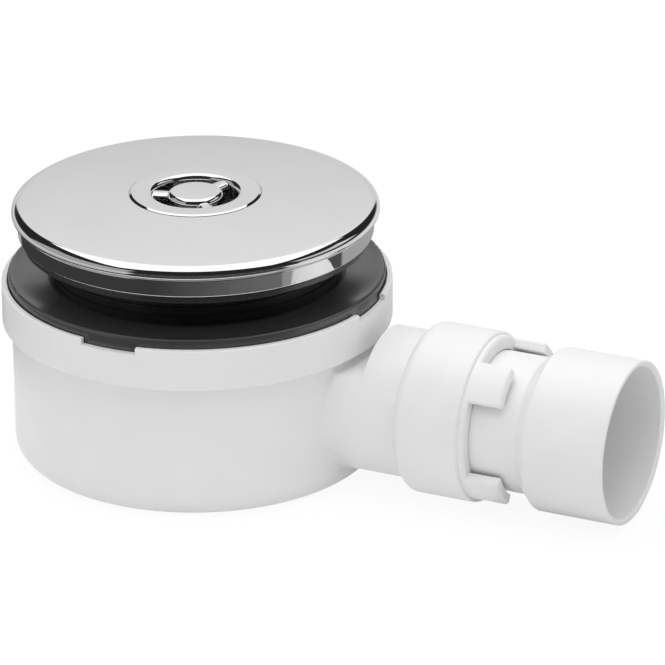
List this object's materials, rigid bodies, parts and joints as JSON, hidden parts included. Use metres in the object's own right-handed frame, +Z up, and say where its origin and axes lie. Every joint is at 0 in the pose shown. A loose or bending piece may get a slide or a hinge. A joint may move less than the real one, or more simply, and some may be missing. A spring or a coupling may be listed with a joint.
{
  "type": "shower trap",
  "caption": "Low shower tray trap with a chromed domed cover and slotted rosette, white cup and side outlet; a dip tube inside keeps the water seal.",
  "frame": {"origin": "centre of the cup's flat underside, on the trap's axis", "axes": "+Z up along the trap's axis, +X along the outlet"},
  "size_m": [0.2041, 0.1194, 0.0833],
  "materials": {
    "white_plastic": "satin",
    "chrome_plating": "polished",
    "black_rubber": "matt",
    "black_plastic": "satin"
  },
  "bodies": {
    "root": {"cover": "chrome_plating", "cover_insert": "chrome_plating", "strainer": "white_plastic", "waste_flange": "chrome_plating", "flange_gasket": "black_rubber", "threaded_collar": "black_plastic", "tray_seal": "black_rubber", "top_ring": "white_plastic", "cup_seal": "black_rubber", "trap_cup": "white_plastic", "dip_tube": "white_plastic", "dip_tube_ring": "black_rubber", "outlet_seal": "black_rubber", "slip_washer": "white_plastic", "lock_ring": "white_plastic", "outlet_tail": "white_plastic"}
  },
  "joints": []
}
